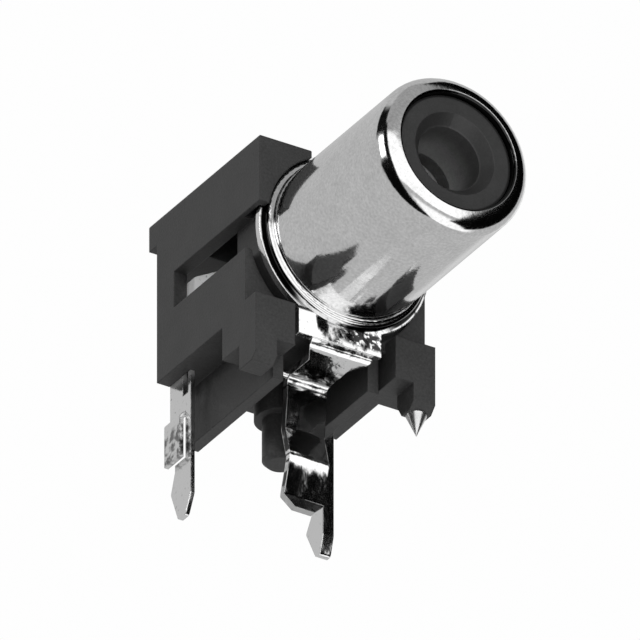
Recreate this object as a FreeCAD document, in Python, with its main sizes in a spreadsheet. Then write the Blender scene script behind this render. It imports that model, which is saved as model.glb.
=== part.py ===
import FreeCAD, Part, Sketcher
import math
import os
import re

# Right-angle phono socket for a printed board, in millimetres.
# X runs to the right as the socket's mouth is seen, Y runs back into the housing, Z runs up.
# Z = 0 is the board's top face, X = 0 is the socket's axis, Y = 0 is the front of the housing's visor.

doc = FreeCAD.newDocument("phono_socket")
sheet = doc.addObject("Spreadsheet::Sheet", "Sizes")

# Driving dimensions
DIMENSIONS = [
    ("axis_height", 7.7, "socket axis above the board"),
    ("body_width", 10.0, "housing across"),
    ("body_back", 9.35, "housing's back face"),
    ("body_floor", 3.1, "underside of the housing's block above the board"),
    ("body_top", 12.16, "housing's top above the board"),
    ("cap_overhang", 0.7, "how far the roof passes the back face"),
    ("cap_thick", 1.45, "thickness of the overhang"),
    ("edge_round", 0.15, "moulded radius on the long outer edges"),
    ("front_wall", 1.3, "front face of the block, behind the visor"),
    ("visor_drop", 0.8, "visor's lower edge above the axis"),
    ("visor_lip", 0.42, "thickness of the visor's lip in front of the ground ring"),
    ("visor_notch", 4.2, "width of the gap between the visor's horns"),
    ("notch_depth", 1.35, "depth of that gap"),
    ("side_wall", 0.72, "side wall beside the contact chamber"),
    ("window_tall", 2.0, "height of the window in the left side"),
    ("window_end", 7.8, "back end of the window"),
    ("wall_gap", 0.1, "clearance of the ring and the flange in the housing"),
    ("fit_gap", 0.02, "clearance of pieces that are pressed or slid together"),
    ("pocket_floor", 1.8, "floor of the recess round the seat"),
    ("seat_rim", 0.28, "how far the ground ring stands out past its seat"),
    ("barrel_radius", 4.15, "outside of the barrel"),
    ("barrel_reach", 9.95, "barrel's mouth in front of the visor"),
    ("barrel_bore", 3.75, "inside of the barrel"),
    ("lip_radius", 3.1, "opening of the rolled lip"),
    ("lip_inner_round", 0.15, "radius on the lip's inner edge"),
    ("lip_deep", 0.8, "depth of the rolled lip"),
    ("flange_radius", 4.48, "barrel's flange"),
    ("flange_front", 0.1, "flange's front face behind the visor's"),
    ("flange_back", 0.5, "flange's back face behind the visor's"),
    ("flange_round", 0.18, "rounding of the flange's front edge"),
    ("neck_radius", 4.0, "neck behind the flange"),
    ("neck_back", 2.2, "back end of the neck"),
    ("insert_recess", 0.35, "insert's face behind the mouth"),
    ("insert_back", 3.2, "back end of the insert"),
    ("funnel_radius", 2.2, "funnel at the insert's face"),
    ("funnel_deep", 0.57, "funnel depth"),
    ("hole_radius", 1.7, "hole for the plug's centre pin"),
    ("hole_deep", 3.6, "where the hole widens, behind the mouth"),
    ("nest_radius", 2.35, "space round the centre contact"),
    ("ring_radius", 4.72, "ground ring"),
    ("ring_gauge", 0.35, "ground terminal's sheet"),
    ("tab_width", 4.6, "tab below the ground ring"),
    ("tab_offset", 0.2, "tab's middle left of the axis"),
    ("tab_drop", 5.5, "tab's lower corners below the axis"),
    ("strap_width", 3.4, "strap where it leaves the tab"),
    ("strap_neck", 1.9, "where the strap has narrowed to the leg's width"),
    ("strap_drop", 1.1, "middle of the strap below the block's floor"),
    ("ear_out", 0.5, "spur beside the leg's upper bend"),
    ("ear_tall", 0.45, "spur's height"),
    ("leg_width", 2.2, "ground leg"),
    ("leg_place", 4.05, "ground leg's middle, behind the visor"),
    ("leg_straight", 0.8, "straight part of the leg above and below the board's face"),
    ("leg_kink", 0.28, "how far the leg's kinks stand out"),
    ("leg_reach", 5.05, "ground leg below the board"),
    ("leg_taper", 0.55, "length of the leg's tapered end"),
    ("bend_radius", 0.5, "middle radius of the ground terminal's bends"),
    ("tube_radius", 2.0, "outside of the centre contact's tube"),
    ("tube_wall", 0.3, "tube wall"),
    ("tube_front", 4.6, "contact's mouth behind the barrel's mouth"),
    ("tube_back", 5.6, "back end of the tube"),
    ("tube_pinch", 0.25, "how far the tines close in"),
    ("tube_flare", 0.2, "how far they open again at the contact's mouth"),
    ("tine_throat", 0.8, "narrowest place of the tines behind the contact's mouth"),
    ("tine_root", 3.0, "roots of the tines behind the contact's mouth"),
    ("tube_slit", 0.6, "gap between the tines"),
    ("slit_back", 4.9, "back end of the gap"),
    ("tail_inset", 1.6, "signal pin's middle inside the housing's right face"),
    ("tail_thick", 0.6, "signal pin, folded to double thickness"),
    ("tail_wide", 0.83, "signal pin front to back"),
    ("tail_front", 7.46, "front edge of both rear pins"),
    ("tail_reach", 4.65, "rear pins below the board"),
    ("tail_taper", 1.0, "length of the pins' tapered ends"),
    ("hook_height", 1.7, "crest of the snap hooks above the pins' ends"),
    ("hook_rise", 1.1, "length of the slope above the crest"),
    ("tail_hook", 0.72, "how far the signal pin's hook stands out"),
    ("blade_hook", 0.38, "how far the switch pin's hook stands out"),
    ("tail_round", 0.2, "rounding of the pins' corners"),
    ("blade_inset", 0.84, "switch blade's middle inside the housing's left face"),
    ("blade_gauge", 0.22, "switch blade's sheet"),
    ("blade_wide", 1.87, "switch blade front to back"),
    ("blade_tail", 1.43, "switch pin front to back"),
    ("barb_out", 0.33, "how far the blade's barb is pushed out"),
    ("barb_top", 1.1, "barb's root above the board"),
    ("barb_root", 0.06, "straight part of the barb below its root"),
    ("barb_slope", 0.3, "height over which the barb leans out"),
    ("barb_bend", 0.13, "middle radius of the barb's bends"),
    ("barb_drop", 1.5, "barb's lower edge below the board"),
    ("blade_up", 0.35, "top of the blade and its arm above the axis"),
    ("slot_low", 2.0, "lower end of the blade's slot above the board"),
    ("slot_wide", 0.48, "blade's slot"),
    ("arm_tall", 1.4, "height of the switch arm"),
    ("arm_bend", 7.1, "where the switch arm turns inwards"),
    ("arm_clear", 0.3, "switch arm's end behind the insert"),
    ("arm_nose", 0.45, "arm's crest behind its end"),
    ("arm_round", 0.35, "middle radius of the arm's bends"),
    ("arm_lead", 0.3, "run behind the crest that is nearly straight"),
    ("arm_lean", 0.1, "how far that run leans in"),
    ("arm_flare", 0.4, "how far the arm's end turns out again"),
    ("chamber_up", 2.4, "chamber's roof above the axis, over the tube"),
    ("chamber_step", 5.9, "where the chamber's roof steps down"),
    ("chamber_low_up", 0.9, "chamber's roof above the axis, behind the step"),
    ("far_wall", 1.1, "side wall right of the contact chamber"),
    ("foot_front", 0.35, "front face of the feet"),
    ("left_foot_back", 3.4, "back of the left foot's block"),
    ("right_foot_back", 2.95, "back of the right foot's block"),
    ("foot_top", 3.6, "top of the feet's blocks"),
    ("foot_width", 1.2, "pad under each foot"),
    ("tab_gap", 0.3, "gap between the ground tab and the feet's blocks"),
    ("block_low", 1.3, "underside of the blocks"),
    ("pad_deep", 1.5, "pad front to back"),
    ("pad_bevel", 0.38, "bevels under the pads"),
    ("heel_bevel", 0.65, "height of the bevel behind the right pad"),
    ("left_rib_space", 1.0, "gap between the strap and the left rib"),
    ("right_rib_space", 0.3, "gap between the strap and the right rib"),
    ("right_rib_gap", 0.9, "underside of the right rib above the board"),
    ("rib_thick", 0.6, "rib thickness"),
    ("rib_front", 1.6, "front end of the ribs"),
    ("web_step", 0.1, "web's inner face outside the right block's inner face"),
    ("web_back", 5.2, "back end of that web"),
    ("web_thick", 0.5, "web thickness"),
    ("peg_place", 6.25, "locating peg behind the visor"),
    ("peg_radius", 0.9, "locating peg"),
    ("peg_reach", 1.45, "peg below the board"),
    ("peg_bevel", 0.2, "bevel at the peg's tip"),
    ("boss_radius", 1.28, "boss round the peg's root"),
    ("boss_gap", 0.95, "boss's end above the board"),
    ("spike_radius", 0.53, "locating spike at its root"),
    ("spike_shank", 0.3, "spike's shank inside the foot"),
    ("spike_seat", 2.0, "length of the shank"),
    ("spike_point", 1.15, "length of the spike's point"),
]
for row, (alias, size, note) in enumerate(DIMENSIONS, start=1):
    sheet.set(f"A{row}", note)
    sheet.set(f"B{row}", str(size))
    sheet.setAlias(f"B{row}", alias)
doc.recompute()
ALIASES = {alias for alias, size, note in DIMENSIONS}


def linked(formula):
    """The formula with every alias written as a cell of the sheet."""
    return re.sub(r"[a-z_]+", lambda word: f"Sizes.{word[0]}" if word[0] in ALIASES else word[0], formula)


def amount(formula):
    """What a formula of aliases comes to now."""
    return float(sheet.evalExpression(formula))


# Sketches and the features made from them
def new_sketch(body, name, plane, offset="0", lift="0"):
    """A sketch on one of the body's own planes, moved along its normal and up within it."""
    sketch = body.newObject("Sketcher::SketchObject", name)
    origin_plane = next(item for item in body.Origin.OriginFeatures if item.Role == f"{plane}_Plane")
    sketch.AttachmentSupport = [(origin_plane, "")]
    sketch.MapMode = "FlatFace"
    sketch.setExpression("AttachmentOffset.Base.z", linked(offset))
    sketch.setExpression("AttachmentOffset.Base.y", linked(lift))
    return sketch


def pin_point(sketch, geometry, place, across, up):
    """Ties one point of the sketch to two formulas, measured from the sketch's origin."""
    for kind, formula in (("DistanceX", across), ("DistanceY", up)):
        if formula is None:
            continue
        index = sketch.addConstraint(Sketcher.Constraint(kind, -1, 1, geometry, place, amount(formula)))
        sketch.setExpression(f"Constraints[{index}]", linked(formula))


def draw_outline(sketch, corners):
    """A closed outline. A corner is (across, up); one reached by an arc adds the arc's centre and its turn."""
    spots = [FreeCAD.Vector(amount(corner[0]), amount(corner[1]), 0) for corner in corners]
    ends = []
    for number, corner in enumerate(corners):
        begin, finish = spots[number - 1], spots[number]
        if len(corner) == 2:
            ends.append((sketch.addGeometry(Part.LineSegment(begin, finish)), 1, 2))
            continue
        centre = FreeCAD.Vector(amount(corner[2]), amount(corner[3]), 0)
        circle = Part.Circle(centre, FreeCAD.Vector(0, 0, 1), (finish - centre).Length)
        turns_left = corner[4] == "left"
        first, last = (begin, finish) if turns_left else (finish, begin)
        arc = Part.ArcOfCircle(circle, circle.parameter(first), circle.parameter(last))
        ends.append((sketch.addGeometry(arc), 1, 2) if turns_left else (sketch.addGeometry(arc), 2, 1))
    for number, corner in enumerate(corners):
        geometry, start, finish = ends[number]
        before, unused, before_finish = ends[number - 1]
        sketch.addConstraint(Sketcher.Constraint("Coincident", before, before_finish, geometry, start))
        pin_point(sketch, geometry, finish, corner[0], corner[1])
        if len(corner) > 2:
            chord = spots[number] - spots[number - 1]
            flat = abs(chord.x) > abs(chord.y)
            pin_point(sketch, geometry, 3, None if flat else corner[2], corner[3] if flat else None)


def draw_circle(sketch, across, up, radius):
    centre = FreeCAD.Vector(amount(across), amount(up), 0)
    geometry = sketch.addGeometry(Part.Circle(centre, FreeCAD.Vector(0, 0, 1), amount(radius)))
    pin_point(sketch, geometry, 3, across, up)
    index = sketch.addConstraint(Sketcher.Constraint("Radius", geometry, amount(radius)))
    sketch.setExpression(f"Constraints[{index}]", linked(radius))


def straight_feature(body, name, plane, start, end, cut, draw):
    """A pad or a pocket between two places along X, Y or Z, from a sketch on that normal's plane."""
    facing_back = plane == "XZ"
    low, high = (f"-({end})", f"-({start})") if facing_back else (start, end)
    sketch = new_sketch(body, name + "_sketch", plane, high if cut else low)
    draw(sketch)
    feature = body.newObject("PartDesign::Pocket" if cut else "PartDesign::Pad", name)
    feature.Profile = sketch
    feature.setExpression("Length", linked(f"({end}) - ({start})"))
    doc.recompute()
    return feature


def prism(body, name, plane, start, end, corners, cut=False):
    return straight_feature(body, name, plane, start, end, cut, lambda sketch: draw_outline(sketch, corners))


def disc(body, name, plane, start, end, across, up, radius, cut=False):
    draw = lambda sketch: draw_circle(sketch, across, up, radius)
    return straight_feature(body, name, plane, start, end, cut, draw)


def box(body, name, left, right, front, back, low, high, cut=False):
    """A block between six formulas."""
    corners = [(left, low), (right, low), (right, high), (left, high)]
    return prism(body, name, "XZ", front, back, corners, cut)


def turned(body, name, corners, cut=False):
    """Material turned about the socket's axis, from an outline of (place along Y, radius)."""
    sketch = new_sketch(body, name + "_sketch", "YZ", lift="axis_height")
    draw_outline(sketch, corners)
    feature = body.newObject("PartDesign::Groove" if cut else "PartDesign::Revolution", name)
    feature.Profile = sketch
    feature.ReferenceAxis = (sketch, ["H_Axis"])
    feature.Angle = 360
    doc.recompute()
    return feature


def new_body(name):
    body = doc.addObject("PartDesign::Body", name)
    body.Label = name
    return body


def dress_edges(body, name, kind, length, size, wanted):
    """Rounds or bevels the edges of the body's last feature that the test picks out."""
    base = body.Tip
    picked = [f"Edge{i}" for i, edge in enumerate(base.Shape.Edges, start=1) if wanted(edge)]
    feature = body.newObject(kind, name)
    feature.Base = (base, picked)
    feature.setExpression(length, linked(size))
    doc.recompute()
    return feature


def round_edges(body, name, radius, wanted):
    return dress_edges(body, name, "PartDesign::Fillet", "Radius", radius, wanted)


def bevel_edges(body, name, size, wanted):
    return dress_edges(body, name, "PartDesign::Chamfer", "Size", size, wanted)


# Sheet metal
def strip(route, bend, gauge, place, along):
    """A bent strip: route is its middle line as flat points, place puts a flat point in space, along is its width."""
    points = [FreeCAD.Vector(a, b, 0) for a, b in route]
    up = FreeCAD.Vector(0, 0, 1)

    def edge_line(offset):
        """One face of the strip, as (point, middle of an arc or None) pairs."""
        heading = (points[1] - points[0]).normalize()
        line = [(points[0] + up.cross(heading) * offset, None)]
        for before, here, after in zip(points, points[1:], points[2:]):
            arrive = (here - before).normalize()
            leave = (after - here).normalize()
            turn = math.atan2(arrive.cross(leave).z, arrive.dot(leave))
            if abs(turn) < 1e-6:
                continue
            side = math.copysign(1, turn)
            reach = bend * math.tan(abs(turn) / 2)
            entry = here - arrive * reach
            centre = entry + up.cross(arrive) * bend * side
            crest = centre + (here - centre).normalize() * (bend - side * offset)
            line.append((entry + up.cross(arrive) * offset, None))
            line.append((here + leave * reach + up.cross(leave) * offset, crest))
        heading = (points[-1] - points[-2]).normalize()
        line.append((points[-1] + up.cross(heading) * offset, None))
        return line

    def edges(line):
        made = []
        for (start, unused), (end, crest) in zip(line, line[1:]):
            if crest is None:
                made.append(Part.LineSegment(place(start), place(end)).toShape())
            else:
                made.append(Part.Arc(place(start), place(crest), place(end)).toShape())
        return made

    left, right = edge_line(gauge / 2), edge_line(-gauge / 2)
    caps = [Part.LineSegment(place(left[0][0]), place(right[0][0])).toShape(),
            Part.LineSegment(place(left[-1][0]), place(right[-1][0])).toShape()]
    outline = Part.Wire(Part.__sortEdges__(edges(left) + edges(right) + caps))
    return Part.Face(outline).extrude(along)


def fused(name, *pieces):
    """One solid of the pieces, as an object of the document."""
    whole = doc.addObject("Part::MultiFuse", name)
    whole.Shapes = list(pieces)
    whole.Refine = True
    whole.Label = name
    doc.recompute()
    return whole


def held_shape(name, shape):
    feature = doc.addObject("Part::Feature", name)
    feature.Shape = shape
    return feature


# Places that several pieces share
HALF = "body_width / 2"
VISOR_LOW = "axis_height + visor_drop"
WINDOW_LOW = "axis_height + visor_drop - window_tall"
SEAT = "flange_back + ring_gauge"
POCKET_RADIUS = "ring_radius + wall_gap"
CHAMBER_LOW = "axis_height - tube_radius"
CHAMBER_LEFT = "side_wall - body_width / 2"
CHAMBER_RIGHT = "body_width / 2 - far_wall"
TAB_SIDE = "(tab_width / 2 + tab_offset)"
BLOCK_INNER = f"({TAB_SIDE} + tab_gap)"
BLADE_PLACE = "(blade_inset - body_width / 2)"
TAIL_PLACE = "(body_width / 2 - tail_inset)"
SPIKE_SIDE = "body_width / 2 - foot_width / 2"
SPIKE_BACK = "foot_front + pad_deep / 2"
PIN_TIP = (0.35, 0.8)  # ends of a pin's blunt tip, as shares of its width
KINKS = (0.51, 0.87)  # the leg's kinks, as shares of its reach below the board


def make_housing():
    """Moulded block with a visor over the flange, two feet, two ribs, a peg and a chamber for the contacts."""
    body = new_body("housing")
    prism(body, "block", "YZ", "-body_width / 2", HALF, [
        ("0", VISOR_LOW), ("front_wall", VISOR_LOW), ("front_wall", "body_floor"), ("body_back", "body_floor"),
        ("body_back", "body_top - cap_thick"), ("body_back + cap_overhang", "body_top - cap_thick"),
        ("body_back + cap_overhang", "body_top"), ("0", "body_top")])
    round_edges(body, "roof_rounds", "edge_round",
                lambda edge: edge.BoundBox.ZMin > amount("body_top") - 0.01)
    for side, outer in (("left", -1), ("right", 1)):
        make_foot(body, side, outer)
    make_ribs(body)
    disc(body, "boss", "XY", "boss_gap", "body_floor", "0", "peg_place", "boss_radius")
    disc(body, "peg", "XY", "-peg_reach", "boss_gap", "0", "peg_place", "peg_radius")
    bevel_edges(body, "peg_tip", "peg_bevel", lambda edge: edge.BoundBox.ZMax < 0.01 - amount("peg_reach"))
    make_mouth(body)
    make_chamber(body)
    return body


def make_foot(body, side, outer):
    """The block and pad at one front corner; outer is -1 on the left and 1 on the right."""
    edge = f"{outer} * body_width / 2"
    inner_block = f"{outer} * {BLOCK_INNER}"
    inner_pad = f"{outer} * (body_width / 2 - foot_width)"
    block = (edge, inner_block) if outer < 0 else (inner_block, edge)
    pad = (edge, inner_pad) if outer < 0 else (inner_pad, edge)
    box(body, f"{side}_block", *block, "foot_front", f"{side}_foot_back", "block_low", "foot_top")
    pad_back = "foot_front + pad_deep"
    rear = [(pad_back, "0"), (pad_back, "block_low")]
    if side == "right":
        rear = [(f"{pad_back} - pad_bevel", "0"), (pad_back, "heel_bevel"), (pad_back, "block_low")]
    prism(body, f"{side}_pad", "YZ", *pad,
          [("foot_front", "block_low"), ("foot_front", "pad_bevel"), ("foot_front + pad_bevel", "0"), *rear])


def make_ribs(body):
    """The left rib, which stands on the board, the shorter right one, and the web behind the right foot."""
    left = "-strap_width / 2 - left_rib_space"
    right = "strap_width / 2 + right_rib_space"
    box(body, "left_rib_wall", f"{left} - rib_thick", left, "rib_front", "body_back", "0", "body_floor")
    box(body, "right_rib_wall", right, f"{right} + rib_thick", "rib_front", "body_back",
        "right_rib_gap", "body_floor")
    web = f"{BLOCK_INNER} + web_step"
    box(body, "web", web, f"{web} + web_thick", "right_foot_back", "web_back", "block_low", "body_floor")


def make_mouth(body):
    """The round openings for the flange, the ground ring, the neck and the insert, and the gap in the visor."""
    front = "-wall_gap"
    disc(body, "lip_opening", "XZ", front, "visor_lip", "0", "axis_height", "flange_radius + wall_gap / 2", cut=True)
    turned(body, "ring_pocket", [
        ("visor_lip", "0"), ("pocket_floor", "0"), ("pocket_floor", POCKET_RADIUS), ("visor_lip", POCKET_RADIUS)],
        cut=True)
    turned(body, "seat", [
        (SEAT, "neck_radius + fit_gap"), (SEAT, "ring_radius - seat_rim"),
        ("pocket_floor + wall_gap", "ring_radius - seat_rim"), ("pocket_floor + wall_gap", "neck_radius + fit_gap")])
    turned(body, "neck_bore", [
        (SEAT, "0"), ("neck_back", "0"), ("neck_back", "neck_radius + fit_gap"), (SEAT, "neck_radius + fit_gap")],
        cut=True)
    turned(body, "insert_bore", [
        ("neck_back", "0"), ("insert_back", "0"), ("insert_back", "barrel_bore"), ("neck_back", "barrel_bore")],
        cut=True)
    box(body, "visor_gap", "-visor_notch / 2", "visor_notch / 2", front, "notch_depth",
        "axis_height", "body_top + wall_gap", cut=True)


def make_chamber(body):
    """The chamber behind the insert, open at the back, the side window and the slots that the pins pass down."""
    box(body, "chamber", CHAMBER_LEFT, CHAMBER_RIGHT, "insert_back", "chamber_step",
        CHAMBER_LOW, "axis_height + chamber_up", cut=True)
    box(body, "rear_chamber", CHAMBER_LEFT, CHAMBER_RIGHT, "chamber_step - wall_gap", "body_back + wall_gap",
        CHAMBER_LOW, "axis_height + chamber_low_up", cut=True)
    box(body, "window", "-body_width / 2 - wall_gap", CHAMBER_LEFT, "-wall_gap", "window_end",
        WINDOW_LOW, VISOR_LOW, cut=True)
    blade_left = f"{BLADE_PLACE} - blade_gauge / 2 - fit_gap"
    blade_right = f"{BLADE_PLACE} + blade_gauge / 2 + fit_gap"
    box(body, "blade_slot", blade_left, blade_right, "tail_front - fit_gap", "body_back + wall_gap",
        "body_floor - wall_gap", CHAMBER_LOW, cut=True)
    box(body, "tail_slot", f"{TAIL_PLACE} - tail_thick / 2 - fit_gap", f"{TAIL_PLACE} + tail_thick / 2 + fit_gap",
        "tail_front - fit_gap", "body_back + wall_gap", "body_floor - wall_gap", CHAMBER_LOW, cut=True)
    disc(body, "spike_hole", "XY", "-wall_gap", "spike_seat", SPIKE_SIDE, SPIKE_BACK, "spike_shank", cut=True)


def make_barrel():
    """Plated barrel: a tube with a rolled lip at its mouth, a flange, and a neck that enters the housing."""
    body = new_body("barrel")
    crest = "lip_radius + lip_inner_round"
    brim = "flange_radius - flange_round"
    root = f"({brim} - barrel_radius)"
    shoulder = f"barrel_radius - ({crest}) - barrel_reach"
    turned(body, "wall", [
        ("flange_back", "flange_radius"), ("flange_front + flange_round", "flange_radius"),
        ("flange_front", brim, "flange_front + flange_round", brim, "left"),
        (f"flange_front - {root}", "barrel_radius", f"flange_front - {root}", brim, "right"),
        (shoulder, "barrel_radius"), ("-barrel_reach", crest, shoulder, crest, "left"),
        ("lip_inner_round - barrel_reach", "lip_radius", "lip_inner_round - barrel_reach", crest, "left"),
        ("lip_deep - barrel_reach", "lip_radius"), ("lip_deep - barrel_reach", "barrel_bore"),
        ("neck_back", "barrel_bore"), ("neck_back", "neck_radius"), ("flange_back", "neck_radius")])
    return body


def make_insert():
    """Insulating insert that fills the barrel, with a funnel and a hole for the plug's pin."""
    body = new_body("insulating_insert")
    face = "insert_recess - barrel_reach"
    shoulder = "lip_deep - barrel_reach"
    throat = "insert_recess + funnel_deep - barrel_reach"
    nest = "hole_deep - barrel_reach"
    turned(body, "core", [
        (face, "funnel_radius"), (throat, "hole_radius"), (nest, "hole_radius"), (nest, "nest_radius"),
        ("insert_back", "nest_radius"), ("insert_back", "barrel_bore - fit_gap"),
        (shoulder, "barrel_bore - fit_gap"), (shoulder, "lip_radius - fit_gap"), (face, "lip_radius - fit_gap")])
    return body


def make_ground_terminal():
    """Sheet ring behind the flange, with a strap that runs back under the block and down into a kinked leg."""
    gauge = amount("ring_gauge")
    ring = doc.addObject("Part::Cylinder", "ground_ring_disc")
    hole = doc.addObject("Part::Cylinder", "ground_ring_hole")
    for cylinder, radius in ((ring, "ring_radius"), (hole, "neck_radius + fit_gap")):
        cylinder.setExpression("Radius", linked(radius))
        cylinder.setExpression("Height", linked("ring_gauge"))
        cylinder.setExpression("Placement.Base.y", linked(SEAT))
        cylinder.setExpression("Placement.Base.z", linked("axis_height"))
        cylinder.Placement.Rotation = FreeCAD.Rotation(FreeCAD.Vector(1, 0, 0), 90)
    middle = amount("flange_back") + gauge / 2
    run = amount("body_floor - strap_drop")
    leg, kink, reach = amount("leg_place"), amount("leg_kink"), amount("leg_reach")
    straight = amount("leg_straight")
    lift = amount("fit_gap")
    forward, backward = (-share * reach for share in KINKS)
    route = [(middle, amount("axis_height - (ring_radius + neck_radius) / 2")), (middle, run), (leg, run),
             (leg, straight), (leg + kink * 2 / 3, -straight), (leg - kink, forward),
             (leg + kink, backward), (leg + kink * 2 / 3, -reach)]
    across = amount("strap_width")
    strap = strip(route, amount("bend_radius"), gauge,
                  lambda flat: FreeCAD.Vector(-across / 2, flat.x, flat.y), FreeCAD.Vector(across, 0, 0))
    narrow = amount("leg_width")
    neck = amount("strap_neck")
    shoulder = middle + gauge / 2
    taper = amount("leg_taper")
    spare = 2.0
    for side in (-1, 1):
        plan = [FreeCAD.Vector(side * across / 2, shoulder, -reach - spare),
                FreeCAD.Vector(side * narrow / 2, neck, -reach - spare),
                FreeCAD.Vector(side * narrow / 2, leg + spare, -reach - spare),
                FreeCAD.Vector(side * (across / 2 + spare), leg + spare, -reach - spare),
                FreeCAD.Vector(side * (across / 2 + spare), shoulder, -reach - spare)]
        trim = Part.Face(Part.makePolygon(plan + plan[:1])).extrude(FreeCAD.Vector(0, 0, run + reach + 2 * spare))
        strap = strap.cut(trim)
        tip = [FreeCAD.Vector(side * (narrow / 2 - taper), 0, -reach - spare),
               FreeCAD.Vector(side * (narrow / 2 - taper), 0, -reach),
               FreeCAD.Vector(side * narrow / 2, 0, taper - reach),
               FreeCAD.Vector(side * (narrow / 2 + spare), 0, taper - reach),
               FreeCAD.Vector(side * (narrow / 2 + spare), 0, -reach - spare)]
        wedge = Part.Face(Part.makePolygon(tip + tip[:1])).extrude(FreeCAD.Vector(0, leg + 2 * spare, 0))
        strap = strap.cut(wedge)
    low = amount("axis_height - tab_drop")
    high = amount("axis_height") - math.sqrt(amount("ring_radius") ** 2 - amount(TAB_SIDE) ** 2)
    tab = Part.makeBox(amount("tab_width"), gauge, high - low,
                       FreeCAD.Vector(-amount(TAB_SIDE), amount("flange_back"), low))
    ear_tall = amount("ear_tall")
    ear = Part.makeCylinder(ear_tall / 2, amount("ear_out"),
                            FreeCAD.Vector(-narrow / 2 - amount("ear_out"), leg - gauge / 2 + lift, run + lift),
                            FreeCAD.Vector(1, 0, 0))
    ring_plate = doc.addObject("Part::Cut", "ground_ring")
    ring_plate.Base = ring
    ring_plate.Tool = hole
    doc.recompute()
    return fused("ground_terminal", ring_plate, held_shape("ground_strap", strap),
                 held_shape("ground_tab", tab), held_shape("ground_ear", ear))


def make_pin(body, name, left, right, top, width, hook):
    """A rear pin: straight front edge, a snap hook on its rear edge and a rounded tip."""
    back = f"tail_front + {width}"
    prism(body, name, "YZ", left, right, [
        ("tail_front", top), ("tail_front", "tail_taper - tail_reach"),
        (f"tail_front + {width} * {PIN_TIP[0]}", "-tail_reach"),
        (f"tail_front + {width} * {PIN_TIP[1]}", "-tail_reach"),
        (f"{back} + {hook}", "hook_height - tail_reach"),
        (back, "hook_height + hook_rise - tail_reach"),
        (back, top)])
    crest = amount("hook_height + hook_rise - tail_reach")
    round_edges(body, name + "_rounds", "tail_round",
                lambda edge: edge.BoundBox.ZLength < 0.01 < edge.BoundBox.XLength and edge.BoundBox.YLength < 0.01
                and edge.BoundBox.ZMax < crest + 0.01)


def make_centre_contact():
    """Split tube that grips the plug's pin, a floor strip behind it and a folded tail that passes the board."""
    body = new_body("centre_contact")
    mouth = "tube_front - barrel_reach"
    outer = "tube_radius"
    inner = "tube_radius - tube_wall"
    throat, root, opened = f"{mouth} + tine_throat", f"{mouth} + tine_root", "tube_flare - tube_pinch"
    turned(body, "tube", [
        (mouth, f"{outer} + {opened}"), (throat, f"{outer} - tube_pinch"), (root, outer), ("tube_back", outer),
        ("tube_back", inner), (root, inner), (throat, f"{inner} - tube_pinch"), (mouth, f"{inner} + {opened}")])
    for name, high in (("left_slit", False), ("right_slit", True)):
        ends = ("0", "tube_radius + wall_gap") if high else ("-tube_radius - wall_gap", "0")
        box(body, name, *ends, f"{mouth} - wall_gap", "slit_back",
            "axis_height - tube_slit / 2", "axis_height + tube_slit / 2", cut=True)
    floor_top = f"{CHAMBER_LOW} + tube_wall"
    tail_right = f"{TAIL_PLACE} + tail_thick / 2"
    tail_left = f"{TAIL_PLACE} - tail_thick / 2"
    box(body, "floor_strip", "-tube_radius / 2", "tube_radius / 2", "slit_back", "tail_front", CHAMBER_LOW, floor_top)
    box(body, "cross_strip", "-tube_radius / 2", tail_right, "tail_front", "tail_front + tail_wide",
        CHAMBER_LOW, floor_top)
    make_pin(body, "tail", tail_left, tail_right, floor_top, "tail_wide", "tail_hook")
    return body


def make_switch_contact():
    """Thin blade in the housing's left side: a pin with a barb below, and an arm that turns in to the tube."""
    gauge = amount("blade_gauge")
    blade = new_body("switch_blade")
    left = f"{BLADE_PLACE} - blade_gauge / 2"
    right = f"{BLADE_PLACE} + blade_gauge / 2"
    shoulder = "-barb_drop"
    rear = "tail_front + blade_wide"
    box(blade, "plate", left, right, "tail_front", rear, shoulder, "axis_height + blade_up")
    make_pin(blade, "pin", left, right, shoulder, "blade_tail", "blade_hook")
    box(blade, "slot", left, right, "tail_front + slot_wide / 2", "tail_front + slot_wide * 1.5",
        "slot_low", "body_floor + slot_wide", cut=True)
    barb_front = "tail_front + slot_wide"
    box(blade, "barb_opening", left, right, barb_front, f"{rear} + wall_gap", shoulder, "barb_top", cut=True)
    weld = amount("fit_gap / 2")
    x_blade = amount(BLADE_PLACE)
    x_barb = x_blade - amount("barb_out")
    barb_y = amount(barb_front)
    barb = strip([(x_blade, amount("barb_top") + weld), (x_blade, amount("barb_top - barb_root")),
                  (x_barb, amount("barb_top - barb_root - barb_slope")), (x_barb, amount(shoulder))],
                 amount("barb_bend"), gauge,
                 lambda flat: FreeCAD.Vector(flat.x, barb_y, flat.y),
                 FreeCAD.Vector(0, amount(rear) - barb_y, 0))
    nose_x = -amount("tube_radius + fit_gap") - gauge / 2
    bend = amount("arm_bend")
    tip = amount("insert_back + arm_clear")
    nose = tip + amount("arm_nose")
    half_way = (x_blade + nose_x) / 2
    arm_low = amount("axis_height + blade_up - arm_tall")
    arm = strip([(x_blade, amount("tail_front") + weld), (x_blade, bend), (half_way, (bend + nose) / 2),
                 (nose_x - amount("arm_lean"), nose + amount("arm_lead")), (nose_x, nose),
                 (nose_x - amount("arm_flare"), tip)],
                amount("arm_round"), gauge,
                lambda flat: FreeCAD.Vector(flat.x, flat.y, arm_low), FreeCAD.Vector(0, 0, amount("arm_tall")))
    return fused("switch_contact", blade, held_shape("switch_barb", barb), held_shape("switch_arm", arm))


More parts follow.
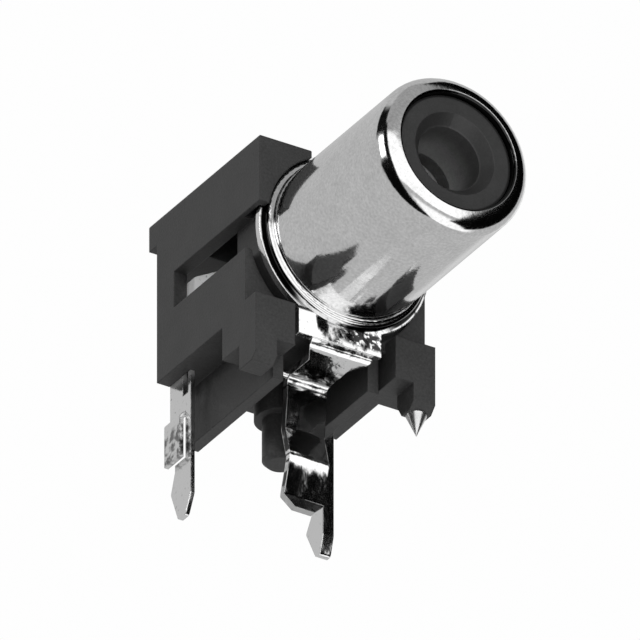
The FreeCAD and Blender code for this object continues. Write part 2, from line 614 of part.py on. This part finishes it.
def make_spike():
    """Pointed metal pin pressed into the right foot."""
    shank = doc.addObject("Part::Cylinder", "spike_shank")
    shank.setExpression("Radius", "Sizes.spike_shank")
    shank.setExpression("Height", "Sizes.spike_seat")
    point = doc.addObject("Part::Cone", "spike_point")
    point.Radius1 = 0
    point.setExpression("Radius2", "Sizes.spike_radius")
    point.setExpression("Height", "Sizes.spike_point")
    point.setExpression("Placement.Base.z", "-Sizes.spike_point")
    for piece in (shank, point):
        piece.setExpression("Placement.Base.x", linked(SPIKE_SIDE))
        piece.setExpression("Placement.Base.y", linked(SPIKE_BACK))
    return fused("locating_spike", shank, point)


nodes = [make_housing(), make_barrel(), make_insert(), make_ground_terminal(), make_centre_contact(),
         make_switch_contact(), make_spike()]
doc.recompute()

# Checks, then one file for each piece
for item in doc.Objects:
    if "Invalid" in item.State or "Error" in item.State:
        raise RuntimeError(f"{item.Name} failed: {item.State}")
os.makedirs("parts", exist_ok=True)
for node in nodes:
    shape = node.Shape
    if shape.isNull() or not shape.isValid() or not shape.Solids:
        raise RuntimeError(f"{node.Label} has no valid solid")
    box_now = shape.BoundBox
    print(f"{node.Label}: {len(shape.Solids)} solid, {shape.Volume:.2f} mm3, X {box_now.XMin:.2f} to {box_now.XMax:.2f}, "
          f"Y {box_now.YMin:.2f} to {box_now.YMax:.2f}, Z {box_now.ZMin:.2f} to {box_now.ZMax:.2f}")
    shape.exportStep(f"parts/{node.Label}.step")
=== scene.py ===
# %% [markdown]
# # Right-angle phono socket for a printed board
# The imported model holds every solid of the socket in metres, standing on the board's top face. Blender
# could model the parts again, but their shapes are already right, so this lesson keeps them and gives each
# one the finish that the real material has: moulded plastic, bright nickel plate and tinned sheet metal.

# %% Load the model
import math

import bmesh
import bpy
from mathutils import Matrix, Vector


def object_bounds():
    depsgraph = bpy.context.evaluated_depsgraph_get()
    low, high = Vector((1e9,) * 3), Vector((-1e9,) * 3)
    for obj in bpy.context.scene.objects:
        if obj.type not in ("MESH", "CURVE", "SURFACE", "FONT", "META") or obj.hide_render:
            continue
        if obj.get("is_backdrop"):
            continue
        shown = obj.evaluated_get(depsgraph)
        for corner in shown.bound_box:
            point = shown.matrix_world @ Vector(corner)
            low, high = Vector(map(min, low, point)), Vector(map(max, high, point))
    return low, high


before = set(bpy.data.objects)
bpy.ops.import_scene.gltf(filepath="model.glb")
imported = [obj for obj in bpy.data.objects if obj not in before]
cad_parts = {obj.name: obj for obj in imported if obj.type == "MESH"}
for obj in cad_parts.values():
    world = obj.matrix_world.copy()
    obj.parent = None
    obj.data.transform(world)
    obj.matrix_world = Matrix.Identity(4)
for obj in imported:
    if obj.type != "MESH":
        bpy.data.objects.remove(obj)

cad_low, cad_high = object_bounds()
print("model box in mm:", [round(1000 * value, 2) for value in (*cad_low, *cad_high)])
print("nodes:", ", ".join(sorted(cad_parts)))

# %% [markdown]
# ## Camera
# The photograph looks up at the socket from its front left, and its parallel edges stay parallel, as
# through a long lens. A perspective camera far away would do, but an orthographic one needs no distance to
# be tuned. Its scale comes from the barrel, which is 8.3 mm across.

# %% Camera at the photograph's angle
MM = 0.001
AZIMUTH = math.radians(-31.5)
ELEVATION = math.radians(-31.0)
PICTURE_SIDE = 640
PIXELS_PER_MM = 21.045
AXIS_POINT = Vector((0, 0, 7.7)) * MM
AXIS_PIXEL = (349.4, 242.1)
MM_TO_CAMERA = 80
CLIP_NEAR = 1 * MM
CLIP_FAR = 2.0

camera_back = Vector((math.sin(AZIMUTH) * math.cos(ELEVATION),
                      -math.cos(AZIMUTH) * math.cos(ELEVATION),
                      math.sin(ELEVATION)))
camera_turn = (-camera_back).to_track_quat("-Z", "Y")
camera_right = camera_turn @ Vector((1, 0, 0))
camera_up = camera_turn @ Vector((0, 1, 0))
middle = PICTURE_SIDE / 2
shift_right = (AXIS_PIXEL[0] - middle) / PIXELS_PER_MM * MM
shift_up = (middle - AXIS_PIXEL[1]) / PIXELS_PER_MM * MM
aim = AXIS_POINT - camera_right * shift_right - camera_up * shift_up

camera = bpy.data.objects.new("camera", bpy.data.cameras.new("camera"))
bpy.context.scene.collection.objects.link(camera)
camera.data.type = "ORTHO"
camera.data.ortho_scale = PICTURE_SIDE / PIXELS_PER_MM * MM
camera.location = aim + camera_back * MM_TO_CAMERA * MM
camera.rotation_mode = "QUATERNION"
camera.rotation_quaternion = camera_turn
camera.data.clip_start = CLIP_NEAR
camera.data.clip_end = CLIP_FAR
bpy.context.scene.camera = camera
print("picture is", round(camera.data.ortho_scale / MM, 2), "mm wide")

# %% [markdown]
# ## Node maths
# A pattern such as mottled tin is a small formula of noise. Adding each Math node by hand hides that
# formula, so one class wraps a socket and lets Python's own operators add the nodes.


# %% A socket that can be added and multiplied
class Wire:
    """One output socket of a node tree."""

    def __init__(self, tree, socket=None):
        self.tree = tree
        self.socket = socket

    def node(self, kind, settings=None, inputs=None, output=0):
        """Adds a node: its settings first, then the values or wires of its sockets. Gives one output."""
        made = self.tree.nodes.new(kind)
        for name, value in (settings or {}).items():
            setattr(made, name, value)
        for name, value in (inputs or {}).items():
            if isinstance(value, Wire):
                self.tree.links.new(value.socket, made.inputs[name])
            else:
                made.inputs[name].default_value = value
        return Wire(self.tree, made.outputs[output])

    def maths(self, operation, first, second=0.0):
        return self.node("ShaderNodeMath", {"operation": operation}, {0: first, 1: second})

    def __add__(self, other):
        return self.maths("ADD", self, other)

    def __radd__(self, other):
        return self.maths("ADD", other, self)

    def __sub__(self, other):
        return self.maths("SUBTRACT", self, other)

    def __rsub__(self, other):
        return self.maths("SUBTRACT", other, self)

    def __mul__(self, other):
        return self.maths("MULTIPLY", self, other)

    def __rmul__(self, other):
        return self.maths("MULTIPLY", other, self)

    def __truediv__(self, other):
        return self.maths("DIVIDE", self, other)

    def __rtruediv__(self, other):
        return self.maths("DIVIDE", other, self)

    def __pow__(self, other):
        return self.maths("POWER", self, other)

    def past(self, place, soft):
        """0 well below a place and 1 well above it, smooth over a soft edge on both sides of it."""
        return self.node("ShaderNodeMapRange", {"interpolation_type": "SMOOTHSTEP"},
                         {"Value": self, "From Min": place - soft, "From Max": place + soft})

    def into(self, shader, name):
        self.tree.links.new(self.socket, shader.inputs[name])


# %% [markdown]
# ## Light
# A plated barrel shows its surroundings more than its own colour, so the light is designed as what the
# metal sees. Area lamps could stand round the socket, but each would need its own place and power. A world
# shader that depends on direction alone holds the same soft boxes and dark cards as plain numbers: how far
# round they reach from the front, how high, and how bright they are.

# %% Directions round the socket
DEGREES = 180 / math.pi
world = bpy.data.worlds.new("studio")
bpy.context.scene.world = world
world.use_nodes = True
sky = world.node_tree
sky_wire = Wire(sky)
direction = sky_wire.node("ShaderNodeTexCoord", output="Object")
east, north, up = (sky_wire.node("ShaderNodeSeparateXYZ", None, {0: direction}, axis) for axis in "XYZ")
round_front = sky_wire.maths("ARCTAN2", east, 0.0 - north) * DEGREES
above = sky_wire.maths("ARCSINE", up) * DEGREES
print("directions take", len(sky.nodes), "nodes")

# %% [markdown]
# The front soft box, a window at the left and the white table below give the bright bands on the rolled
# lip. Dark cards between them give the black ones. Everything behind the socket stays an even grey, and
# that is what the long side of the barrel reflects.

# %% Soft boxes and dark cards
BEHIND = 0.55
# title, left, right, low, high and soft edge in degrees, brightness
FIELDS = (
    ("grey ceiling", -60, 45, 25, 100, 12, 0.38),
    ("white table", -40, 110, -100, -42, 8, 1.3),
    ("card below left", -124, -53, -85, 1, 4, 0.002),
    ("card above left", -128, -62, 27, 60, 5, 0.005),
    ("card in front of the window", -74, -53, -10, 40, 3, 0.005),
    ("front box", -51, 31, -24, 29, 2, 1.35),
    ("card at right", 32, 88, -52, 70, 3, 0.001),
    ("left window", -108, -76, 3, 25, 2, 3.4),
    ("fill at right", 112, 138, 8, 42, 8, 0.95),
)


def between(value, low, high, soft):
    """1 between two places and 0 outside them, over soft edges."""
    return value.past(low, soft) * (1 - value.past(high, soft))


glow = sky_wire.maths("ADD", BEHIND, 0.0)
for title, left, right, low, high, soft, bright in FIELDS:
    mask = between(round_front, left, right, soft) * between(above, low, high, soft)
    glow = glow + (bright - glow) * mask
    print("light:", title, bright)

# %% [markdown]
# The picture's own background is plain and almost white. A card behind the socket would be reflected in the
# barrel, so only the rays that come straight from the camera see the white.

# %% White for the camera alone
BACKDROP_GREY = 0.99
seen = sky_wire.node("ShaderNodeLightPath", output="Is Camera Ray")
glow = glow + (BACKDROP_GREY - glow) * seen
glow.into(sky.nodes["Background"], "Color")
bpy.context.scene.view_settings.view_transform = "Standard"
print("the world takes", len(sky.nodes), "nodes")

# %% [markdown]
# ## Floor
# The camera looks up from below the board's face, so a floor under the pins would hide the socket. It lies
# lower than every camera, and shows in the views from above. The soft boxes are set for the metal and leave
# the floor grey, so it glows a little to look as pale as the backdrop.

# %% Pale floor
FLOOR_TONE = (0.85, 0.85, 0.85, 1)
FLOOR_ROUGHNESS = 0.9
FLOOR_GLOW = 0.4
FLOOR_DEPTH = 60 * MM
FLOOR_SIDE = 2.0
floor_shape = bmesh.new()
bmesh.ops.create_grid(floor_shape, x_segments=1, y_segments=1, size=FLOOR_SIDE / 2)
bmesh.ops.translate(floor_shape, vec=(0, 0, -FLOOR_DEPTH), verts=floor_shape.verts)
floor_mesh = bpy.data.meshes.new("floor")
floor_shape.to_mesh(floor_mesh)
floor_shape.free()
floor = bpy.data.objects.new("floor", floor_mesh)
bpy.context.scene.collection.objects.link(floor)
floor.visible_glossy = False
floor.visible_diffuse = False
floor.visible_shadow = False
floor_paint = bpy.data.materials.new("floor_paint")
floor_paint.use_nodes = True
paint = floor_paint.node_tree.nodes["Principled BSDF"].inputs
paint["Base Color"].default_value = FLOOR_TONE
paint["Roughness"].default_value = FLOOR_ROUGHNESS
paint["Emission Color"].default_value = (1, 1, 1, 1)
paint["Emission Strength"].default_value = FLOOR_GLOW
floor_mesh.materials.append(floor_paint)
floor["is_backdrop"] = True
print("floor lies", round(FLOOR_DEPTH / MM), "mm below the board's face")

# %% [markdown]
# ## Finishes
# Each finish starts from the Principled shader. Its constants are set on its own sockets, and only what
# changes over the surface is wired.


# %% Start a finish and put it on
def new_finish(name, metallic, roughness):
    """A material, the wire that adds nodes to it, and its shader."""
    material = bpy.data.materials.new(name)
    material.use_nodes = True
    shader = material.node_tree.nodes["Principled BSDF"]
    shader.inputs["Metallic"].default_value = metallic
    shader.inputs["Roughness"].default_value = roughness
    return material, Wire(material.node_tree), shader


def dress(material, *names):
    """Puts a finish on the named pieces."""
    for name in names:
        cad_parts[name].material_slots[0].material = material
    print(material.name, "on", ", ".join(names), "takes", len(material.node_tree.nodes), "nodes")


# %% [markdown]
# No moulding or plate has one even tone. A picture could carry its clouds and grain, but noise on the
# piece's own coordinates needs no picture, and its size can be given in millimetres.


# %% Noise for clouds and grain
def noise(wire, per_mm, detail=2.0, shift=(0, 0, 0)):
    """Noise on the piece's own coordinates, with about that many blobs in a millimetre, moved by shift."""
    place = wire.node("ShaderNodeTexCoord", output="Object")
    moved = wire.node("ShaderNodeVectorMath", {"operation": "ADD"}, {0: place, 1: Vector(shift) * MM})
    settings = {"Vector": moved, "Scale": per_mm / MM, "Detail": detail}
    return wire.node("ShaderNodeTexNoise", None, settings, "Fac")


def swing(wave, size):
    """A noise from 0 to 1, made to swing about 0 over that size."""
    return size * (wave - 0.5)


# %% [markdown]
# Fine relief could be displaced faces, but there would be very many. A Bump node gives their slopes to the
# light alone, and a Bevel node rounds sharp edges in the same way.

# %% Slopes and rounded edges
BEVEL_SAMPLES = 6


def bumped(wire, shader, height, depth, edge=0.0):
    """Turns a height into slopes, over edges that are rounded in the shading alone."""
    links = {"Height": height, "Distance": depth, "Strength": 1.0}
    if edge:
        links["Normal"] = wire.node("ShaderNodeBevel", {"samples": BEVEL_SAMPLES}, {"Radius": edge})
    wire.node("ShaderNodeBump", None, links).into(shader, "Normal")


# %% [markdown]
# ### Moulded plastic
# The housing is a dark filled plastic. Its tool was spark eroded, which leaves a fine even texture, and its
# edges are rounded by about a tenth of a millimetre. Real bevels on every edge of this mesh would be many
# faces for a line that is two pixels wide, so a Bevel node rounds the shading.

# %% Housing plastic
PLASTIC_TONE = 0.053
PLASTIC_SHINE = 0.4
plastic, wire, shader = new_finish("moulded_plastic", metallic=0.0, roughness=0.5)
shader.inputs["Specular IOR Level"].default_value = PLASTIC_SHINE
cloud = noise(wire, per_mm=0.6, detail=4.0)
grain = noise(wire, per_mm=8, detail=4.0)
(PLASTIC_TONE * (1 + swing(cloud, 0.45) + swing(grain, 1.1))).into(shader, "Base Color")
(0.52 + swing(grain, 0.2)).into(shader, "Roughness")
bumped(wire, shader, grain, 0.012 * MM, edge=0.1 * MM)
dress(plastic, "housing")

# %% [markdown]
# ### Insert plastic
# The insert is a darker, smoother moulding. Its hole's wall has painted light, a tone a little paler than
# the face, and its deep end is paler still. Its outer rim is rounded off under the rolled lip, and painted
# shade makes it a black line. A second material would need the mesh to be cut, and the distance from the
# socket's axis already tells these places apart.


# %% Distance from the socket's axis
def millimetres(wire, axis):
    """How far along X, Y or Z a point lies, in millimetres."""
    place = wire.node("ShaderNodeTexCoord", output="Object")
    return wire.node("ShaderNodeSeparateXYZ", None, {0: place}, axis) / MM


def from_axis(wire):
    """How far a point lies from the barrel's axis, in millimetres."""
    across = millimetres(wire, "X")
    up = millimetres(wire, "Z") - AXIS_POINT.z / MM
    return (across * across + up * up) ** 0.5


# %% Insert plastic
FACE_TONE = 0.036
HOLE_PAINTED_LIGHT_TONE = 0.075
DEEP_PAINTED_LIGHT_TONE = 0.45
RIM_PAINTED_SHADE_TONE = 0.003
HOLE_EDGE = 1.73
RIM_EDGE = 2.97
DEEP_PLACE = -7.1
insert_plastic, wire, shader = new_finish("insert_plastic", metallic=0.0, roughness=0.42)
radius = from_axis(wire)
in_hole = 1 - radius.past(HOLE_EDGE, soft=0.05)
deep = millimetres(wire, "Y").past(DEEP_PLACE, soft=1.5)
rim = radius.past(RIM_EDGE, soft=0.05) * (1 - deep)
cloud = noise(wire, per_mm=1.2, detail=4.0)
grain = noise(wire, per_mm=9, detail=3.0)
# Painted light: the hole's wall and its deep end are paler. Painted shade: the rim under the lip is near
# black.
tone = FACE_TONE + (HOLE_PAINTED_LIGHT_TONE - FACE_TONE) * in_hole
tone = tone + (DEEP_PAINTED_LIGHT_TONE - tone) * deep
tone = tone + (RIM_PAINTED_SHADE_TONE - tone) * rim
(tone * (1 + swing(cloud, 0.5) + swing(grain, 0.6))).into(shader, "Base Color")
(0.42 + 0.4 * rim).into(shader, "Roughness")
bumped(wire, shader, grain, 0.006 * MM, edge=0.06 * MM)
dress(insert_plastic, "insulating_insert")

# %% [markdown]
# ### Bright nickel
# The barrel is drawn and plated. The plate is smooth, but it isn't even: a fine grain and wide faint clouds
# show where it reflects a plain grey. Bumps would break up the sharp bands on the rolled lip, so the grain
# is mostly in the plate's own tone. The edge that is turned in round the insert and the flange's rim have
# painted shade, a near black tone, except on the rim above the ground tab.

# %% Barrel plate
PLATE_TONE = 0.76
EDGE_SHADE_TONE = 0.03
LIP_EDGE = 3.23
FLANGE_EDGE = 4.435
UNSHADED_RIM_LEFT = -2.8
UNSHADED_RIM_RIGHT = 0.0
UNSHADED_RIM_TOP = 4.9
nickel, wire, shader = new_finish("nickel_plate", metallic=1.0, roughness=0.1)
cloud = noise(wire, per_mm=1.1, detail=3.0)
grain = noise(wire, per_mm=7, detail=3.0)
plate = PLATE_TONE + swing(cloud, 0.16) + swing(grain, 0.45)
radius = from_axis(wire)
# Painted shade: the turned-in lip edge and the flange's rim are near black, but not the rim above the
# ground tab.
lip_shade = 1 - radius.past(LIP_EDGE, soft=0.04)
over_tab = between(millimetres(wire, "X"), UNSHADED_RIM_LEFT, UNSHADED_RIM_RIGHT, soft=0.4)
unshaded_rim = over_tab * (1 - millimetres(wire, "Z").past(UNSHADED_RIM_TOP, soft=0.3))
flange_shade = radius.past(FLANGE_EDGE, soft=0.025) * (1 - unshaded_rim)
(plate + (EDGE_SHADE_TONE - plate) * (lip_shade + flange_shade)).into(shader, "Base Color")
(0.1 + swing(grain, 0.12)).into(shader, "Roughness")
bumped(wire, shader, noise(wire, per_mm=5), 0.0025 * MM)
dress(nickel, "barrel")

# %% [markdown]
# ### Tinned sheet
# The terminals are stamped from strip and tinned. Molten tin levels itself in smooth waves a millimetre or
# two long, and each wave turns a flat face towards another lamp or card, so the face breaks into hard
# bright and black patches. Fine noise would only look like scratches. One slow wave does it, with a weak
# faster ripple and a few pits.

# %% Tin for one piece
TIN_TONE = 0.84
PIT_SHADE = 0.35
PITS_PER_MM = 4.5
RIPPLES_PER_WAVE = 5
RIPPLE_SHARE = 0.1
SHEET_EDGE = 0.06 * MM


def tin(wire, per_mm, deep, shift=(0, 0, 0)):
    """Waves, about that many to a millimetre and that deep: the tone, the height in mm and the pits."""
    wave = noise(wire, per_mm, 1.0, shift)
    ripple = noise(wire, per_mm * RIPPLES_PER_WAVE, 1.0, shift)
    pits = noise(wire, PITS_PER_MM, 2.0, shift).past(0.7, soft=0.06)
    return TIN_TONE - PIT_SHADE * pits, deep * wave + RIPPLE_SHARE * deep * ripple, pits


# %% [markdown]
# The ground terminal isn't flat either. Its tab leans down, more so at its left ear, and its leg leans up.
# The leg is turned to the right and twisted at its lower end, and the kink has a rounded ridge. The solid
# is flat there. Bent into it, the lean alone would move the leg's end by 0.8 mm. What the slopes do is
# decide which lamp each face shows, and slopes in the shading, mostly of 5 to 20 degrees, do that alone:
# the turned leg shows a dark card to the camera and stays pale in the barrel above it.

# %% Slopes of the ground terminal
STRAP_LEVEL = 2.0
LEAN = 0.11
TWIST = 0.1
TWIST_LEVEL = -3.05
KINK_LEVEL = -2.6
RIDGE_HEIGHT = 0.06
EAR_SIDE = -1.2
EAR_LOW = 2.2
EAR_HIGH = 3.6
EAR_TURN = 0.04
EAR_LEAN = 0.17
LEG_TURN = 0.09
LEG_TOP = 1.4
ABOVE_KINK = KINK_LEVEL + 0.3
ground_tin, wire, shader = new_finish("ground_tin", metallic=1.0, roughness=0.12)
tone, waves, pits = tin(wire, per_mm=0.9, deep=0.06, shift=(8.0, 5.0, 15.0))
side = millimetres(wire, "X")
level = millimetres(wire, "Z")
lean = LEAN * wire.maths("ABSOLUTE", level - STRAP_LEVEL)
twist = TWIST * side * (1 - level.past(TWIST_LEVEL, soft=0.3))
ridge = RIDGE_HEIGHT * level.past(KINK_LEVEL, soft=0.15)
on_ear = (1 - side.past(EAR_SIDE, soft=0.4)) * between(level, EAR_LOW - 0.1, EAR_HIGH, soft=0.1)
ear = (EAR_TURN * side + EAR_LEAN * (level - EAR_LOW)) * on_ear
leg_turn = LEG_TURN * side * between(level, ABOVE_KINK, LEG_TOP, soft=0.1)
bumped(wire, shader, waves + lean - twist + ridge + ear - leg_turn, MM, SHEET_EDGE)
(0.1 + 0.1 * pits).into(shader, "Roughness")
print("the leg is turned by", round(math.degrees(math.atan(LEG_TURN)), 1), "degrees")

# %% [markdown]
# The step between the ring and the barrel's flange has painted shade, a dark line. Painted dark reflections
# cover the strap's back, the tab's right half, with pale specks, and, thinly, the leg, but not the leg's
# ridge. A separate skin of faces could carry them, but a darker tone in the same tin is simpler.

# %% Painted shade and dark reflections on the ground terminal
STEP_SHADE_RADIUS = 4.63
STEP_SHADE_LEVEL = 3.9
STEP_SHADE_TONE = 0.015
LEG_DARK_REFLECTION = 0.3
LEG_DARK_REFLECTION_TOP = 1.45
EVEN_SHARE = 0.65
BELOW_KINK = KINK_LEVEL - 0.35
STRAP_DARK_REFLECTION = 0.9
STRAP_FRONT = 2.3
STRAP_BACK = 3.5
STRAP_DARK_REFLECTION_LOW = 1.6
TAB_DARK_REFLECTION = 0.95
TAB_DARK_REFLECTION_LEFT = -0.05
TAB_DARK_REFLECTION_LOW = 2.45
TAB_DARK_REFLECTION_HIGH = 3.35
# Painted shade: a dark line in the step by the flange. Painted dark reflections: the leg, the strap's back
# and the tab's right half are darker.
step_shade = (1 - from_axis(wire).past(STEP_SHADE_RADIUS, soft=0.04)) * level.past(STEP_SHADE_LEVEL, soft=0.3)
patchy = noise(wire, per_mm=1.8, shift=(4, 0, 2)).past(0.42, soft=0.08)
specks = noise(wire, per_mm=4.5, detail=3.0, shift=(1, 0, 6)).past(0.56, soft=0.06)
on_ridge = between(level, BELOW_KINK, ABOVE_KINK, soft=0.1)
leg_dark_reflection = LEG_DARK_REFLECTION * (1 - level.past(LEG_DARK_REFLECTION_TOP, soft=0.15)) * (1 - on_ridge)
leg_dark_reflection = leg_dark_reflection * (EVEN_SHARE + (1 - EVEN_SHARE) * patchy)
strap_dark_reflection = STRAP_DARK_REFLECTION * between(millimetres(wire, "Y"), STRAP_FRONT, STRAP_BACK, soft=0.2)
strap_dark_reflection = strap_dark_reflection * level.past(STRAP_DARK_REFLECTION_LOW, soft=0.1) * patchy
tab_dark_reflection = TAB_DARK_REFLECTION * side.past(TAB_DARK_REFLECTION_LEFT, soft=0.35)
tab_dark_reflection = tab_dark_reflection * between(level, TAB_DARK_REFLECTION_LOW, TAB_DARK_REFLECTION_HIGH, soft=0.12) * (1 - specks)
tone = tone * (1 - leg_dark_reflection) * (1 - strap_dark_reflection) * (1 - tab_dark_reflection)
(tone + (STEP_SHADE_TONE - tone) * step_shade).into(shader, "Base Color")
dress(ground_tin, "ground_terminal")

# %% [markdown]
# The two rear pins are tinned alike. The barb that is pressed out of the switch blade has a dark mottling
# in its tone between two levels at the housing's far left. Inside the chamber the contacts are matt. A
# mirror would show only the dark walls there, but the photograph shows pale metal through the side window.
# The narrow front faces of the pins are turned about 5 degrees to the right, so they show the dark card.

# %% Rear pins
BARB_SIDE = -4.1
BARB_LOW = -1.55
BARB_HIGH = 0.3
BARB_MOTTLE_DARKNESS = 0.75
CHAMBER_LEVEL = 3.0
MATT = 0.6
PIN_TURN = 0.08
pin_tin, wire, shader = new_finish("pin_tin", metallic=1.0, roughness=0.12)
tone, waves = tin(wire, per_mm=1.3, deep=0.035)[:2]
side = millimetres(wire, "X")
level = millimetres(wire, "Z")
inside = level.past(CHAMBER_LEVEL, soft=0.5)
(0.12 + MATT * inside).into(shader, "Roughness")
(1 - MATT * inside).into(shader, "Metallic")
on_barb = between(level, BARB_LOW, BARB_HIGH, soft=0.15) * (1 - side.past(BARB_SIDE, soft=0.05))
mottle = noise(wire, per_mm=2.6, detail=3.0, shift=(0, 2, 0)).past(0.51, soft=0.09) * on_barb
(tone * (1 - BARB_MOTTLE_DARKNESS * mottle)).into(shader, "Base Color")
bumped(wire, shader, waves - PIN_TURN * side, MM, SHEET_EDGE)
dress(pin_tin, "centre_contact", "switch_contact")

# %% [markdown]
# The spike is turned rather than stamped. Fine turning marks run round it, so its reflections are softer.
# Modelled grooves would take many faces for marks a pixel or two wide, so a sine of the height stands for
# them.

# %% Turned spike
MARKS_PER_MM = 14
SPIKE_TONE = 0.72
spike_metal, wire, shader = new_finish("spike_metal", metallic=1.0, roughness=0.3)
cloud = noise(wire, per_mm=2.5)
(SPIKE_TONE + swing(cloud, 0.2)).into(shader, "Base Color")
marks = wire.maths("SINE", millimetres(wire, "Z") * (2 * math.pi * MARKS_PER_MM))
bumped(wire, shader, 0.5 + 0.5 * marks, 0.0015 * MM, edge=0.05 * MM)
dress(spike_metal, "locating_spike")

# %% Compare the sizes and finish
low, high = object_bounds()
changes = [abs(before - after) for before, after in zip((*cad_low, *cad_high), (*low, *high))]
print("largest change in mm:", round(1000 * max(changes), 4))
